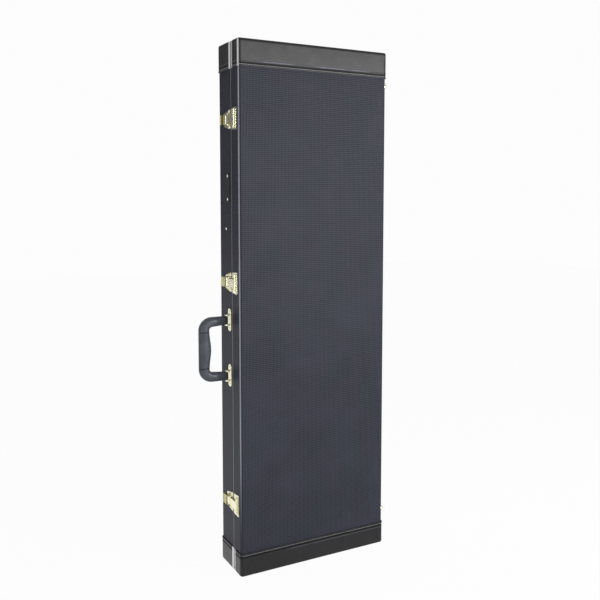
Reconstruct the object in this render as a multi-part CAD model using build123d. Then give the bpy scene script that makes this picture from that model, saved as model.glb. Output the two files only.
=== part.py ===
"""Rectangular hardshell case for an electric guitar, standing on its tail end.

Millimetres. +Z runs up the case from its tail end to its head end, -Y is the lid and +Y the base,
-X is the side with the latches and the handle, +X is the hinge side. The origin is the middle of the
closed case's tail end.
"""
import os
from build123d import *

# Overall size of the closed case, over its end caps
case_length = 1060.0
case_width = 340.0
case_depth = 102.0
lid_depth = 37.0

# Skins and walls, from the outside in
cap_thickness = 2.5
cover_thickness = 1.0
wood_thickness = 5.0
lining_thickness = 3.0
tail_cap_height = 47.0
head_cap_height = 53.0

# Corner radii
long_edge_radius = 7.0
end_edge_radius = 4.0
wood_inner_radius = 1.5
lining_inner_radius = 0.8

# Metal valance round the seam
valance_strip_width = 9.0
valance_strip_recess = 0.3
base_bead_height = 2.0
base_bead_proud = 0.2
lid_rail_height = 4.0
tongue_width = 1.5
tongue_height = 3.0
tongue_inset = 1.6
tongue_clearance = 0.4
tongue_end_gap = 14.0
lid_cover_gap = 1.0

# Rivets
rivet_shank_radius = 1.5
rivet_head_radius = 2.7
rivet_head_height = 1.3
hole_clearance = 0.05

# Hinges
hinge_from_end = 180.0
hinge_length = 64.0
hinge_leaf_width = 22.0
hinge_leaf_thickness = 1.2
hinge_pin_radius = 1.5
hinge_knuckle_radius = 2.8
hinge_pin_stand_off = 5.5
hinge_axial_gap = 0.3
hinge_rivet_pitch = 22.0
lid_knuckle_length = 24.0

# Latches
latch_from_tail = 142.0
latch_above_handle = 132.5
latch_from_head = 150.0
latch_plate_thickness = 1.0
latch_plate_length = 30.0
latch_plate_seam_height = 40.0
latch_plate_end_height = 26.0
latch_corner_radius = 3.0
latch_pivot_from_seam = 9.0
latch_pivot_lift = 3.6
latch_pivot_radius = 1.0
latch_throw = 8.5
latch_throw_lift = 0.6
lever_half_width = 9.5
lever_wall = 1.0
lever_nose_radius = 2.3
lever_reach = 25.0
lever_top_lift = 7.0
lever_top_thickness = 1.2
lever_lip_radius = 1.7
lever_cheek_bevel = 6.0
ear_thickness = 1.2
ear_gap = 0.15
ear_length = 7.0
loop_half_width = 8.0
loop_thickness = 1.6
loop_bar_half_length = 17.0
loop_bar_width = 2.4
loop_eye_radius = 2.2
running_clearance = 0.3
catch_height = 44.0
catch_ridge_from_seam = 18.0
catch_ridge_width = 1.6
catch_edge_bar_width = 2.0
catch_edge_bar_height = 1.3
catch_margin = 4.5
latch_rivet_side = 15.0

# Handle
handle_height = 457.5
handle_span = 113.0
handle_offset_from_seam = 13.5
handle_pivot_lift = 6.5
handle_eye_radius = 4.5
handle_pin_radius = 2.0
handle_arm_height = 17.0
handle_arm_growth = 3.0
handle_reach = 67.0
handle_grip_depth = 22.0
handle_grip_swell = 3.5
handle_grip_half_width = 9.0
handle_neck_length = 10.0
handle_taper_length = 16.0
handle_nose_length = 7.0
handle_corner_radius = 27.0
handle_inner_radius = 13.0
handle_plate_height = 45.0
handle_plate_width = 15.0
handle_plate_thickness = 1.2
handle_plate_corner = 6.0
handle_lug_thickness = 2.2
handle_rivet_pitch = 35.0
core_width = 6.6
core_thickness = 4.0

# Small outside fittings
nameplate_height = 60.0
nameplate_width = 15.0
nameplate_thickness = 1.0
nameplate_above_midway = 27.5
nameplate_from_seam = 19.0
nameplate_rivet_pitch = 46.0
stud_below_midway = 54.0
stud_from_seam = 29.0
foot_radius = 5.5
foot_lift = 9.0
foot_from_tail = 72.0
foot_from_head = 68.0
foot_from_face = 13.0

# Padding and pocket inside the base
pad_gap = 0.3
pad_top_gap = 5.0
tail_pad_thickness = 24.0
waist_pad_thickness = 20.0
waist_pad_length = 100.0
waist_pad_middle = 275.0
shoulder_start = 455.0
shoulder_length = 70.0
neck_channel_width = 96.0
pocket_length = 226.0
pocket_wall = 5.0
pocket_lid_thickness = 3.3
pocket_tab_length = 18.0
pocket_tab_overhang = 6.0
pocket_tab_width = 24.0
pocket_tab_thickness = 1.5
pocket_hinge_set_back = 4.5
cradle_length = 60.0
cradle_height = 24.0
cradle_start = 600.0
cradle_groove_radius = 40.0
cradle_groove_depth = 8.0
head_pad_length = 110.0
head_pad_height = 16.0
head_pad_from_head = 60.0
lid_pad_length = 360.0
lid_pad_width = 240.0
lid_pad_thickness = 12.0
lid_pad_start = 60.0
pad_corner_radius = 6.0

# Planes and levels worked out from the sizes above
half_width = case_width / 2
half_depth = case_depth / 2
seam_y = lid_depth - half_depth
cover_inset = cap_thickness - cover_thickness
wood_inner_inset = cap_thickness + wood_thickness
lining_inner_inset = wood_inner_inset + lining_thickness
side_x = half_width - cover_inset
cavity_half_width = half_width - lining_inner_inset
base_floor_y = half_depth - lining_inner_inset
lid_floor_y = lining_inner_inset - half_depth
cavity_low_z = lining_inner_inset
head_cap_start = case_length - head_cap_height
shank_length = cover_thickness + wood_thickness
hinge_x = side_x + hinge_pin_stand_off
pad_top_y = seam_y + pad_top_gap
shoulder_end = shoulder_start + shoulder_length
channel_half = neck_channel_width / 2
hinge_heights = {"lower": hinge_from_end, "middle": case_length / 2, "upper": case_length - hinge_from_end}
latch_heights = {"lower": latch_from_tail, "middle": handle_height + latch_above_handle,
                 "upper": case_length - latch_from_head}
midway_height = (latch_heights["middle"] + latch_heights["upper"]) / 2
nameplate_middle = midway_height + nameplate_above_midway
stud_height = midway_height - stud_below_midway
head_pad_start = case_length - head_pad_from_head - head_pad_length


def block(x0, x1, y0, y1, z0, z1):
    """A box between two corners."""
    size = Box(x1 - x0, y1 - y0, z1 - z0, align=(Align.MIN, Align.MIN, Align.MIN))
    return Pos(x0, y0, z0) * size


def along_x(radius, x0, x1, y, z):
    """A round bar along X."""
    return Pos((x0 + x1) / 2, y, z) * Rot(0, 90, 0) * Cylinder(radius, abs(x1 - x0))


def along_z(radius, x, y, z0, z1):
    """A round bar along Z."""
    return Pos(x, y, (z0 + z1) / 2) * Cylinder(radius, z1 - z0)


def prism_z(points, z0, z1):
    """An outline of (x, y) points, drawn out along Z."""
    outline = Polyline(*[(x, y, z0) for x, y in points], close=True)
    return extrude(make_face(outline), amount=z1 - z0, dir=(0, 0, 1))


def plate_on_side(points, corner, x0, x1):
    """A rounded plate with an outline of (y, z) points, between two planes across X."""
    outline = make_face(Polyline(*[(x0, y, z) for y, z in points], close=True))
    rounded = fillet(outline.vertices(), corner)
    return extrude(rounded, amount=x1 - x0, dir=(1, 0, 0))


def save(name, *solids):
    """Write one node, a single solid or a group of separate solids."""
    shape = solids[0] if len(solids) == 1 else Compound(children=list(solids))
    export_step(shape, os.path.join("parts", name + ".step"))


def case_form(inset, long_radius, end_radius):
    """The whole closed case's form, moved in by an inset on every side."""
    form = block(inset - half_width, half_width - inset, inset - half_depth, half_depth - inset,
                 inset, case_length - inset)
    form = fillet(form.edges().filter_by(Axis.Z), long_radius)
    ends = form.faces().sort_by(Axis.Z)
    return fillet(ends[0].edges() + ends[-1].edges(), end_radius)


def outer_form(inset):
    """A layer parallel to the outside."""
    return case_form(inset, max(long_edge_radius - inset, 0.6), max(end_edge_radius - inset, 0.5))


def slab(y0, y1, z0=-1.0, z1=case_length + 1.0, x1=case_width):
    """A slice of space across the case, for cutting a layer to its stretch."""
    return block(-case_width, x1, y0, y1, z0, z1)


# Layers of the whole case, cut into base and lid below
over_caps = outer_form(0)
over_strip = outer_form(valance_strip_recess)
over_bead = outer_form(cover_inset - base_bead_proud)
over_cover = outer_form(cover_inset)
over_wood = outer_form(cap_thickness)
in_wood = case_form(wood_inner_inset, wood_inner_radius, wood_inner_radius)
in_lining = case_form(lining_inner_inset, lining_inner_radius, lining_inner_radius)

cap_layer = over_caps - over_wood
cover_layer = over_cover - over_wood
wood_layer = over_wood - in_wood
lining_layer = in_wood - in_lining
strip_layer = over_strip - over_wood

far = case_depth


def side_holes(places, sign, radius, inner_end):
    """Round holes through one side wall at (y, z) places."""
    x_in = sign * inner_end
    x_out = sign * (half_width + 2)
    return [along_x(radius, min(x_in, x_out), max(x_in, x_out), y, z) for y, z in places]


def rivet(sign, lift, y, z, head_radius=rivet_head_radius, head_height=rivet_head_height):
    """A domed rivet whose head sits at a lift above the side, with its shank through cover and wood."""
    head = Cylinder(head_radius, head_height, align=(Align.CENTER, Align.CENTER, Align.MIN))
    head = fillet(head.edges().sort_by(Axis.Z)[-1], min(head_height, head_radius) * 0.85)
    shank = Cylinder(rivet_shank_radius, shank_length + lift, align=(Align.CENTER, Align.CENTER, Align.MAX))
    seat = Plane(origin=(sign * (side_x + lift), y, z), z_dir=(sign, 0, 0), x_dir=(0, 0, 1))
    return seat * (head + shank)


# Places of every rivet through the two sides, as (y, z)
def hinge_rivet_places(sense):
    """Rivets of the three hinges, on the base for sense 1 and on the lid for sense -1."""
    y = seam_y + sense * (hinge_leaf_width * 0.62)
    steps = (-1, 0, 1)
    return [(y, z + step * hinge_rivet_pitch) for z in hinge_heights.values() for step in steps]


def latch_base_rivet_places():
    """Two rivets near the seam end of each latch plate."""
    y = seam_y + latch_pivot_from_seam
    return [(y, z + side * latch_rivet_side) for z in latch_heights.values() for side in (-1, 1)]


def latch_lid_rivet_places():
    """Two rivets between each catch's ridge and the seam."""
    y = seam_y - catch_ridge_from_seam / 2 - 1
    return [(y, z + side * latch_rivet_side) for z in latch_heights.values() for side in (-1, 1)]


handle_y = seam_y + handle_offset_from_seam
handle_ends = {"upper": handle_height + handle_span / 2, "lower": handle_height - handle_span / 2}


def handle_rivet_places():
    """Two rivets on each handle plate, above and below the lugs."""
    half = handle_rivet_pitch / 2
    return [(handle_y, z + side * half) for z in handle_ends.values() for side in (-1, 1)]


nameplate_y = seam_y + nameplate_from_seam
nameplate_half_pitch = nameplate_rivet_pitch / 2
nameplate_rivet_places = [(nameplate_y, nameplate_middle + side * nameplate_half_pitch) for side in (-1, 1)]
stud_place = (seam_y + stud_from_seam, stud_height)
foot_heights = (foot_from_tail, case_length - foot_from_head)
base_foot_places = [(half_depth - foot_from_face, z) for z in foot_heights]
lid_foot_places = [(foot_from_face - half_depth, z) for z in foot_heights]

hole_radius = rivet_shank_radius + hole_clearance
wood_inner_x = half_width - wood_inner_inset
base_latch_side = latch_base_rivet_places() + handle_rivet_places() + nameplate_rivet_places + [stud_place]
base_hinge_side = hinge_rivet_places(1) + base_foot_places
lid_latch_side = latch_lid_rivet_places()
lid_hinge_side = hinge_rivet_places(-1) + lid_foot_places
base_holes = side_holes(base_latch_side, -1, hole_radius, wood_inner_x - 1)
base_holes += side_holes(base_hinge_side, 1, hole_radius, wood_inner_x - 1)
lid_holes = side_holes(lid_latch_side, -1, hole_radius, wood_inner_x - 1)
lid_holes += side_holes(lid_hinge_side, 1, hole_radius, wood_inner_x - 1)


# Shells, coverings, caps, linings
def make_case_halves():
    """The wooden trays and the skins on them."""
    base_wood_y = seam_y + base_bead_height
    lid_wood_y = seam_y - lid_rail_height
    cap_base_y = seam_y + valance_strip_width
    cap_lid_y = seam_y - valance_strip_width
    between_caps = (tail_cap_height, head_cap_start)

    save("base_shell", (wood_layer & slab(base_wood_y, far)) - base_holes)
    save("lid_shell", (wood_layer & slab(-far, lid_wood_y)) - lid_holes)
    save("base_covering", (cover_layer & slab(base_wood_y, far, *between_caps)) - base_holes)
    save("lid_covering", (cover_layer & slab(-far, seam_y - lid_cover_gap, *between_caps)) - lid_holes)
    save("base_tail_cap", cap_layer & slab(cap_base_y, far, -1.0, tail_cap_height))
    save("base_head_cap", cap_layer & slab(cap_base_y, far, head_cap_start))
    save("lid_tail_cap", cap_layer & slab(-far, cap_lid_y, -1.0, tail_cap_height))
    save("lid_head_cap", cap_layer & slab(-far, cap_lid_y, head_cap_start))
    save("base_lining", lining_layer & slab(seam_y, far))
    save("lid_lining", lining_layer & slab(-far, seam_y))


def make_valances():
    """The two metal edges of the seam, with a tongue on the base that enters a groove in the lid."""
    strip_base = (seam_y, seam_y + valance_strip_width)
    strip_lid = (seam_y - valance_strip_width, seam_y)
    tongue_x = half_width - tongue_end_gap
    tongue_outer = cap_thickness + tongue_inset
    tongue_layer = outer_form(tongue_outer) - outer_form(tongue_outer + tongue_width)
    groove_layer = outer_form(tongue_outer - tongue_clearance)
    groove_layer -= outer_form(tongue_outer + tongue_width + tongue_clearance)

    base = (over_bead - in_wood) & slab(seam_y, seam_y + base_bead_height)
    base += strip_layer & slab(*strip_base, -1.0, tail_cap_height)
    base += strip_layer & slab(*strip_base, head_cap_start)
    base += tongue_layer & slab(seam_y - tongue_height, seam_y + 1, x1=tongue_x)
    save("base_valance", base)

    groove_floor = seam_y - tongue_height - tongue_clearance
    lid = (over_wood - in_wood) & slab(seam_y - lid_rail_height, seam_y)
    lid += strip_layer & slab(*strip_lid, -1.0, tail_cap_height)
    lid += strip_layer & slab(*strip_lid, head_cap_start)
    lid -= groove_layer & slab(groove_floor, seam_y + 1, x1=tongue_x + tongue_clearance)
    save("lid_valance", lid)


# Hinges
def hinge_leaf(middle_z, sense):
    """One leaf with its knuckles: sense 1 lies on the base and carries the two end knuckles."""
    half = hinge_length / 2
    near = seam_y + sense * (base_bead_height + 0.2)
    end = near + sense * hinge_leaf_width
    y0, y1 = min(near, end), max(near, end)
    outline = [(y0, middle_z - half), (y1, middle_z - half), (y1, middle_z + half), (y0, middle_z + half)]
    leaf = plate_on_side(outline, 1.0, side_x, side_x + hinge_leaf_thickness)
    inner = lid_knuckle_length / 2
    if sense > 0:
        spans = [(-half, -inner - hinge_axial_gap), (inner + hinge_axial_gap, half)]
    else:
        spans = [(-inner, inner)]
    web_far = seam_y + sense * hinge_knuckle_radius
    web_near = seam_y + sense * 1.0
    for low, high in spans:
        z0, z1 = middle_z + low, middle_z + high
        leaf += along_z(hinge_knuckle_radius, hinge_x, seam_y, z0, z1)
        leaf += block(side_x + 0.5, hinge_x, min(web_near, web_far), max(web_near, web_far), z0, z1)
    bore = hinge_pin_radius + hole_clearance
    leaf -= along_z(bore, hinge_x, seam_y, middle_z - half - 1, middle_z + half + 1)
    places = [p for p in hinge_rivet_places(sense) if abs(p[1] - middle_z) < half]
    return leaf - side_holes(places, 1, hole_radius, side_x - 1)


def make_hinges():
    """Three pinned hinges on the +X side."""
    for name, z in hinge_heights.items():
        save("hinge_base_leaf_" + name, hinge_leaf(z, 1))
        save("hinge_lid_leaf_" + name, hinge_leaf(z, -1))
    half = hinge_length / 2
    save("hinge_pins", *[along_z(hinge_pin_radius, hinge_x, seam_y, z - half, z + half)
                         for z in hinge_heights.values()])
    for name, sense in (("base", 1), ("lid", -1)):
        heads = [rivet(1, hinge_leaf_thickness, y, z) for y, z in hinge_rivet_places(sense)]
        save("hinge_rivets_" + name, *heads)


# Latches, drawn in (lift from the side, y)
pivot_y = seam_y + latch_pivot_from_seam
link_y = pivot_y + latch_throw
link_lift = latch_pivot_lift + latch_throw_lift
ridge_y = seam_y - catch_ridge_from_seam
wall_inner = lever_half_width - lever_wall


def at(lift):
    """The X of a lift from the latch side's covering."""
    return -(side_x + lift)


def latch_plate(middle_z):
    """Base plate, wide at the seam and narrow at the far end, with two ears for the lever's pivots."""
    y0 = seam_y + base_bead_height + 0.5
    y1 = y0 + latch_plate_length
    wide, narrow = latch_plate_seam_height / 2, latch_plate_end_height / 2
    outline = [(y0, middle_z - wide), (y1, middle_z - narrow), (y1, middle_z + narrow), (y0, middle_z + wide)]
    plate = plate_on_side(outline, latch_corner_radius, at(latch_plate_thickness), at(0))
    ear_low = lever_half_width + ear_gap
    for side in (-1, 1):
        z0 = middle_z + min(side * ear_low, side * (ear_low + ear_thickness))
        z1 = z0 + ear_thickness
        plate += along_z(lever_nose_radius, at(latch_pivot_lift), pivot_y, z0, z1)
        half_ear = ear_length / 2
        plate += block(at(latch_pivot_lift), at(0), pivot_y - half_ear, pivot_y + half_ear, z0, z1)
    reach = ear_low + ear_thickness + 1
    plate -= along_z(latch_pivot_radius, at(latch_pivot_lift), pivot_y, middle_z - reach, middle_z + reach)
    places = [p for p in latch_base_rivet_places() if abs(p[1] - middle_z) < wide]
    return plate - side_holes(places, -1, hole_radius, side_x - 1)


def latch_lever(middle_z):
    """A trough that turns on the plate's ears: open over the link, closed beyond it, with a finger lip."""
    low = latch_pivot_lift - lever_nose_radius
    top = lever_top_lift + lever_top_thickness
    tip_y = pivot_y + lever_reach
    roof_y = link_y + loop_eye_radius + 2.0
    cheek = [(at(low), pivot_y), (at(low), tip_y - lever_cheek_bevel), (at(lever_top_lift), tip_y),
             (at(top), tip_y), (at(top), roof_y), (at(link_lift + 2.4), link_y),
             (at(latch_pivot_lift + 2.3), pivot_y)]
    lever = block(at(top), at(lever_top_lift), roof_y, tip_y, middle_z - lever_half_width,
                  middle_z + lever_half_width)
    lip_lift = lever_top_lift + lever_top_thickness / 2
    lever += along_z(lever_lip_radius, at(lip_lift), tip_y, middle_z - lever_half_width,
                     middle_z + lever_half_width)
    for side in (-1, 1):
        z0 = middle_z + min(side * wall_inner, side * lever_half_width)
        lever += prism_z(cheek, z0, z0 + lever_wall)
        lever += along_z(lever_nose_radius, at(latch_pivot_lift), pivot_y, z0, z0 + lever_wall)
    reach = lever_half_width + 1
    for lift, y in ((latch_pivot_lift, pivot_y), (link_lift, link_y)):
        lever -= along_z(latch_pivot_radius + hole_clearance, at(lift), y, middle_z - reach, middle_z + reach)
    return lever


def latch_loop(middle_z):
    """The link: trunnions in the lever, a flat strap over the seam, and a cross bar behind the ridge."""
    under = link_lift - loop_thickness / 2
    over = link_lift + loop_thickness / 2
    bar_near = ridge_y - catch_ridge_width / 2 - running_clearance
    bar_far = bar_near - loop_bar_width
    z0, z1 = middle_z - loop_half_width, middle_z + loop_half_width
    loop = block(at(over), at(under), bar_far, link_y, z0, z1)
    loop += along_z(loop_eye_radius, at(link_lift), link_y, z0, z1)
    loop += along_z(latch_pivot_radius, at(link_lift), link_y, middle_z - lever_half_width,
                    middle_z + lever_half_width)
    loop += block(at(over), at(latch_plate_thickness + running_clearance), bar_far, bar_near,
                  middle_z - loop_bar_half_length, middle_z + loop_bar_half_length)
    return loop


def latch_catch(middle_z):
    """The lid's plate: an upright ridge for the link's bar, and a raised bar along its front edge."""
    y_near = seam_y - lid_cover_gap - 0.5
    y_far = ridge_y - catch_ridge_width / 2 - running_clearance - loop_bar_width - catch_margin
    half = catch_height / 2
    narrow = latch_plate_seam_height / 2
    outline = [(y_far, middle_z - half), (y_near, middle_z - narrow), (y_near, middle_z + narrow),
               (y_far, middle_z + half)]
    plate = plate_on_side(outline, latch_corner_radius, at(latch_plate_thickness), at(0))
    ridge_top = link_lift - loop_thickness / 2 - running_clearance
    ridge_half = catch_ridge_width / 2
    plate += block(at(ridge_top), at(0), ridge_y - ridge_half, ridge_y + ridge_half,
                   middle_z - loop_bar_half_length, middle_z + loop_bar_half_length)
    plate += block(at(latch_plate_thickness + catch_edge_bar_height), at(0), y_far,
                   y_far + catch_edge_bar_width, middle_z - half + latch_corner_radius,
                   middle_z + half - latch_corner_radius)
    places = [p for p in latch_lid_rivet_places() if abs(p[1] - middle_z) < half]
    return plate - side_holes(places, -1, hole_radius, side_x - 1)


def make_latches():
    """Three draw latches on the -X side."""
    pins = []
    for name, z in latch_heights.items():
        save("latch_plate_" + name, latch_plate(z))
        save("latch_lever_" + name, latch_lever(z))
        save("latch_loop_" + name, latch_loop(z))
        save("latch_catch_" + name, latch_catch(z))
        outer = lever_half_width + ear_gap + ear_thickness
        for side in (-1, 1):
            z0 = z + min(side * wall_inner, side * outer)
            z1 = z0 + outer - wall_inner
            pins.append(along_z(latch_pivot_radius, at(latch_pivot_lift), pivot_y, z0, z1))
    save("latch_pivot_pins", *pins)
    lift = latch_plate_thickness
    save("latch_rivets_base", *[rivet(-1, lift, y, z) for y, z in latch_base_rivet_places()])
    save("latch_rivets_lid", *[rivet(-1, lift, y, z) for y, z in latch_lid_rivet_places()])


# Handle
def handle_outline(margin):
    """The D of the handle seen from the front, with a margin taken off all round for its core."""
    outer_x = -(side_x + handle_reach) + margin
    inner_x = outer_x + handle_grip_depth - 2 * margin
    root_x = at(handle_pivot_lift) - margin * 2
    outer_z = (handle_span + handle_arm_height) / 2 - margin
    inner_z = (handle_span - handle_arm_height) / 2 + margin
    palm_z = inner_z - handle_arm_growth
    past_lugs_x = root_x - handle_eye_radius * 1.25
    lines = Polyline((root_x, 0, handle_height - outer_z), (outer_x, 0, handle_height - outer_z),
                     (outer_x, 0, handle_height + outer_z), (root_x, 0, handle_height + outer_z),
                     (root_x, 0, handle_height + inner_z), (past_lugs_x, 0, handle_height + inner_z),
                     (inner_x, 0, handle_height + palm_z))
    palm_x = inner_x + handle_grip_swell
    swell = ThreePointArc((inner_x, 0, handle_height + palm_z), (palm_x, 0, handle_height),
                          (inner_x, 0, handle_height - palm_z))
    close = Polyline((inner_x, 0, handle_height - palm_z), (past_lugs_x, 0, handle_height - inner_z),
                     (root_x, 0, handle_height - inner_z), (root_x, 0, handle_height - outer_z))
    face = make_face(lines + swell + close)
    outer_corners = [v for v in face.vertices() if abs(v.X - outer_x) < 0.1]
    face = fillet(outer_corners, handle_corner_radius - margin)
    inner_corners = [v for v in face.vertices() if abs(v.X - inner_x) < 0.1]
    return fillet(inner_corners, handle_inner_radius)


def make_handle():
    """A moulded grip on a steel core, turning on two pins between the lugs of its plates."""
    root = at(handle_pivot_lift)
    outer_x = -(side_x + handle_reach)
    wide = handle_grip_half_width
    thin = handle_eye_radius
    neck_x = root - handle_neck_length
    grip_x = neck_x - handle_taper_length
    nose_x = outer_x + handle_nose_length
    section = [(root, -thin), (neck_x, -thin), (grip_x, -wide), (nose_x, -wide), (outer_x, -wide * 0.6),
               (outer_x, wide * 0.6), (nose_x, wide), (grip_x, wide), (neck_x, thin), (root, thin)]
    low = handle_height - handle_span
    high = handle_height + handle_span
    blank = Pos(0, handle_y, 0) * prism_z(section, low, high)
    sweep_y = Pos(0, handle_y, 0) * extrude(handle_outline(0), amount=wide + 1, dir=(0, 1, 0), both=True)
    grip = blank & sweep_y
    half_arm = handle_arm_height / 2
    for z in handle_ends.values():
        grip += along_z(handle_eye_radius, root, handle_y, z - half_arm, z + half_arm)
    past_arm = half_arm + 1
    for z in handle_ends.values():
        grip -= along_z(handle_pin_radius + hole_clearance, root, handle_y, z - past_arm, z + past_arm)

    core_face = handle_outline((handle_arm_height - core_thickness) / 2)
    core = Pos(0, handle_y, 0) * extrude(core_face, amount=core_width / 2, dir=(0, 1, 0), both=True)
    save("handle_grip", grip - core)
    save("handle_core", core)

    pins, rivets = [], []
    for name, z in handle_ends.items():
        half = handle_plate_height / 2
        y0, y1 = handle_y - handle_plate_width / 2, handle_y + handle_plate_width / 2
        outline = [(y0, z - half), (y1, z - half), (y1, z + half), (y0, z + half)]
        plate = plate_on_side(outline, handle_plate_corner, at(handle_plate_thickness), at(0))
        lug_start = half_arm + running_clearance
        for side in (-1, 1):
            z0 = z + min(side * lug_start, side * (lug_start + handle_lug_thickness))
            z1 = z0 + handle_lug_thickness
            plate += along_z(handle_eye_radius, root, handle_y, z0, z1)
            plate += block(root, at(0), handle_y - handle_eye_radius, handle_y + handle_eye_radius, z0, z1)
        reach = lug_start + handle_lug_thickness
        plate -= along_z(handle_pin_radius, root, handle_y, z - reach - 1, z + reach + 1)
        places = [p for p in handle_rivet_places() if abs(p[1] - z) < half]
        save("handle_plate_" + name, plate - side_holes(places, -1, hole_radius, side_x - 1))
        pins.append(along_z(handle_pin_radius, root, handle_y, z - reach, z + reach))
        rivets += [rivet(-1, handle_plate_thickness, y, place_z) for y, place_z in places]
    save("handle_pins", *pins)
    save("handle_rivets", *rivets)


# Small outside fittings
def make_fittings():
    """The bare plate with its rivets, the small stud, and the feet on the hinge side."""
    half = nameplate_height / 2
    y0, y1 = nameplate_y - nameplate_width / 2, nameplate_y + nameplate_width / 2
    outline = [(y0, nameplate_middle - half), (y1, nameplate_middle - half), (y1, nameplate_middle + half),
               (y0, nameplate_middle + half)]
    plate = plate_on_side(outline, 2.5, at(nameplate_thickness), at(0))
    save("nameplate", plate - side_holes(nameplate_rivet_places, -1, hole_radius, side_x - 1))
    save("nameplate_rivets", *[rivet(-1, nameplate_thickness, y, z) for y, z in nameplate_rivet_places])
    save("side_stud", rivet(-1, 0, *stud_place))
    feet = {"base_feet": base_foot_places, "lid_feet": lid_foot_places}
    for name, places in feet.items():
        save(name, *[rivet(1, 0, y, z, foot_radius, foot_lift) for y, z in places])


# Padding
def soft_block(x0, x1, y0, y1, z0, z1):
    """A pad with its long upright edges rounded over."""
    pad = block(x0, x1, y0, y1, z0, z1)
    tops = [e for e in pad.edges().filter_by(Axis.Z) if abs(e.center().Y - y0) < 0.1]
    return fillet(tops, pad_corner_radius)


def make_padding():
    """Pads, the pocket with its lid, the neck cradle and the pad under the lid."""
    wall = cavity_half_width - pad_gap
    floor = base_floor_y - pad_gap
    low = cavity_low_z + pad_gap
    save("tail_pad", soft_block(-wall, wall, pad_top_y, floor, low, low + tail_pad_thickness))
    waist_low = waist_pad_middle - waist_pad_length / 2
    waist_high = waist_pad_middle + waist_pad_length / 2
    save("waist_pads", *[soft_block(min(s * wall, s * (wall - waist_pad_thickness)),
                                    max(s * wall, s * (wall - waist_pad_thickness)),
                                    pad_top_y, floor, waist_low, waist_high) for s in (-1, 1)])
    save("shoulder_pads", *[soft_block(min(s * wall, s * channel_half), max(s * wall, s * channel_half),
                                       pad_top_y, floor, shoulder_start, shoulder_end) for s in (-1, 1)])
    pocket_low = shoulder_end + pad_gap
    pocket_high = pocket_low + pocket_length
    save("neck_side_block", soft_block(-wall, -channel_half, pad_top_y, floor, pocket_low, pocket_high))

    box = block(channel_half, wall, pad_top_y, floor, pocket_low, pocket_high)
    box -= block(channel_half + pocket_wall, wall - pocket_wall, pad_top_y - 1, floor - pocket_wall,
                 pocket_low + pocket_wall, pocket_high - pocket_wall)
    save("accessory_box", box)
    lid_edge = wall - pocket_hinge_set_back
    top = pad_top_y - pad_gap
    save("pocket_lid", block(channel_half, lid_edge, top - pocket_lid_thickness, top,
                             pocket_low, pocket_high))
    tab_middle = (pocket_low + pocket_high) / 2
    tab_top = top - pocket_lid_thickness
    half_tab = pocket_tab_width / 2
    save("pocket_tab", block(channel_half - pocket_tab_overhang, channel_half + pocket_tab_length,
                             tab_top - pocket_tab_thickness, tab_top, tab_middle - half_tab,
                             tab_middle + half_tab))

    cradle = block(pad_gap - channel_half, channel_half - pad_gap, floor - cradle_height, floor,
                   cradle_start, cradle_start + cradle_length)
    groove_y = floor - cradle_height + cradle_groove_depth - cradle_groove_radius
    cradle -= along_z(cradle_groove_radius, 0, groove_y, cradle_start - 1, cradle_start + cradle_length + 1)
    save("neck_cradle", cradle)
    save("headstock_pad", soft_block(-channel_half, channel_half, floor - head_pad_height, floor,
                                     head_pad_start, head_pad_start + head_pad_length))
    ceiling = lid_floor_y + pad_gap
    half = lid_pad_width / 2
    save("lid_pad", block(-half, half, ceiling, ceiling + lid_pad_thickness, lid_pad_start,
                          lid_pad_start + lid_pad_length))


os.makedirs("parts", exist_ok=True)
make_case_halves()
make_valances()
make_hinges()
make_latches()
make_handle()
make_fittings()
make_padding()
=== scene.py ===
# %% [markdown]
# # A hardshell guitar case, dressed for the camera
# The case stands on its tail end. Its wooden trays, metal valance, hinges, latches and handle plates come
# in as solids at their real size. This file gives each of them its finish, and models what is soft or sewn:
# the hems and stitches of the end caps, the moulded handle, and the plush inside.

# %% Load the solids
import math

import bmesh
import bpy
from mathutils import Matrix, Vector, noise


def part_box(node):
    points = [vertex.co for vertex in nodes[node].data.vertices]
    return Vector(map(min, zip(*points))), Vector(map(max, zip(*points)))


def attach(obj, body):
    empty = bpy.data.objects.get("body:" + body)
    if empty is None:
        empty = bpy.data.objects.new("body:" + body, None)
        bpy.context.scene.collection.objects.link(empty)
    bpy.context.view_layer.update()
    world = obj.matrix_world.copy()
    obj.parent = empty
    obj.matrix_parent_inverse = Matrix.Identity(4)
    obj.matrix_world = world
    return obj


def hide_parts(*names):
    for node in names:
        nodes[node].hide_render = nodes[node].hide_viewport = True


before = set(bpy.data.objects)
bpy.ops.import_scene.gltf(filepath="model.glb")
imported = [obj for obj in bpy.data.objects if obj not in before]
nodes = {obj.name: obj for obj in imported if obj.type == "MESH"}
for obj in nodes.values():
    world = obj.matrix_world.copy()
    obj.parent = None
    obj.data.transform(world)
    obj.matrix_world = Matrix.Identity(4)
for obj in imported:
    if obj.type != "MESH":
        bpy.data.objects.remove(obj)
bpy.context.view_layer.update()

# %% [markdown]
# ## Sizes that several pieces share
# Sizes are read from the solids, so a piece made here always sits on what carries it. They could be typed in,
# but then a change of the solids would leave the hems and pads behind. Only the radius of the long edges is
# typed, because a box doesn't show it. The covering is 1.5 mm behind the end caps, and the seam between lid
# and base is a plane across the case.

# %% Read the case's planes from the solids
MM = 0.001
LONG_EDGE_RADIUS = 7 * MM
cap_low, cap_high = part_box("base_tail_cap")
lid_cap_low, lid_cap_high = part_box("lid_tail_cap")
head_cap_low, head_cap_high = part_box("base_head_cap")
half_width = cap_high.x
side_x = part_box("base_covering")[1].x
front_y, back_y = lid_cap_low.y, cap_high.y
seam_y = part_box("base_lining")[0].y
tail_edge_z, head_edge_z = cap_high.z, head_cap_low.z
case_top = head_cap_high.z
print("covering at x", round(side_x, 4), "seam at y", round(seam_y, 4), "top at z", round(case_top, 4))

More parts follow.
